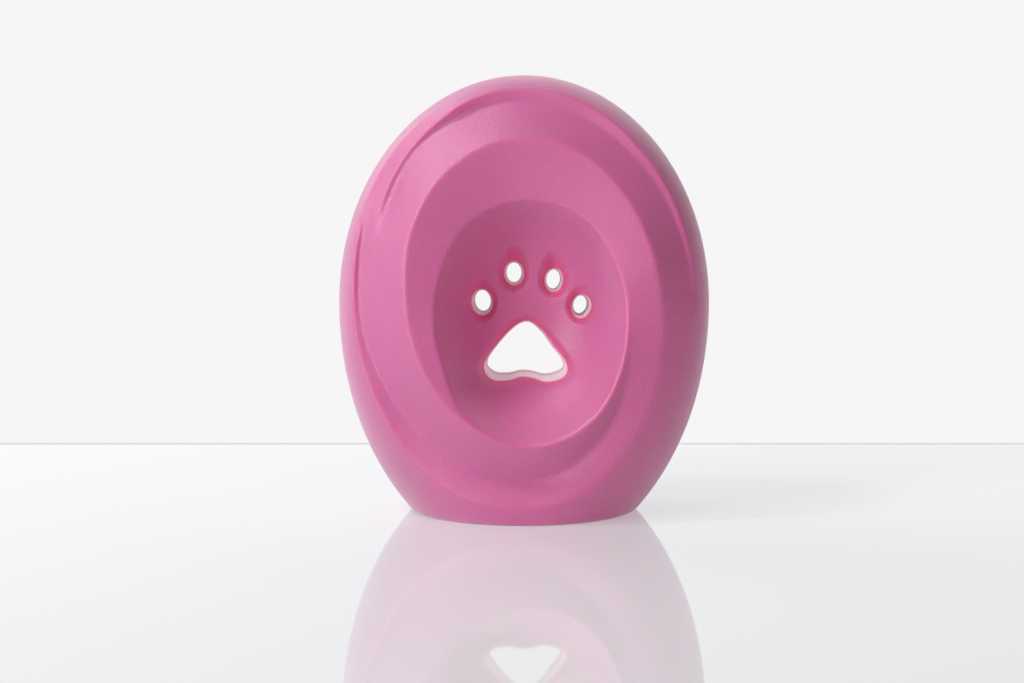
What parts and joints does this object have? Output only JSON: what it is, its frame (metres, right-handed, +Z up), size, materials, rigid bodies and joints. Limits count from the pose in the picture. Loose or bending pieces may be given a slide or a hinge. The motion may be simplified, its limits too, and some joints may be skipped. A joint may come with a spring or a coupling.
{
  "type": "paw washer cup",
  "caption": "Hollow moulded egg on a round foot, with a spiral relief, a paw-shaped window through it and a wash chamber closed from below by a bayonet lid.",
  "frame": {"origin": "middle of the foot's underside, on the surface that the object stands on", "axes": "+Z up, the front with the bowl faces -Y, +X to the right when the front is looked at"},
  "size_m": [0.11, 0.069, 0.1294],
  "materials": {
    "shell": "satin moulded plastic with a fine sandblasted grain",
    "lid": "satin moulded plastic",
    "collar": "natural white moulded plastic",
    "seal": "smooth moulded rubber",
    "silicone": "soft matte silicone rubber"
  },
  "bodies": {
    "body": {"front_shell": "shell", "rear_shell": "shell", "mouth_collar": "collar", "collar_gasket": "seal", "bristle_sleeve": "silicone"},
    "lid": {"base_lid": "lid", "lid_seal": "seal"}
  },
  "joints": [
    {"name": "lid_turn", "type": "hinge", "parent": "body", "child": "lid", "pos_m": [0, 0, 0.006], "axis": [0, 0, -1], "range_deg": [0, 60]}
  ]
}
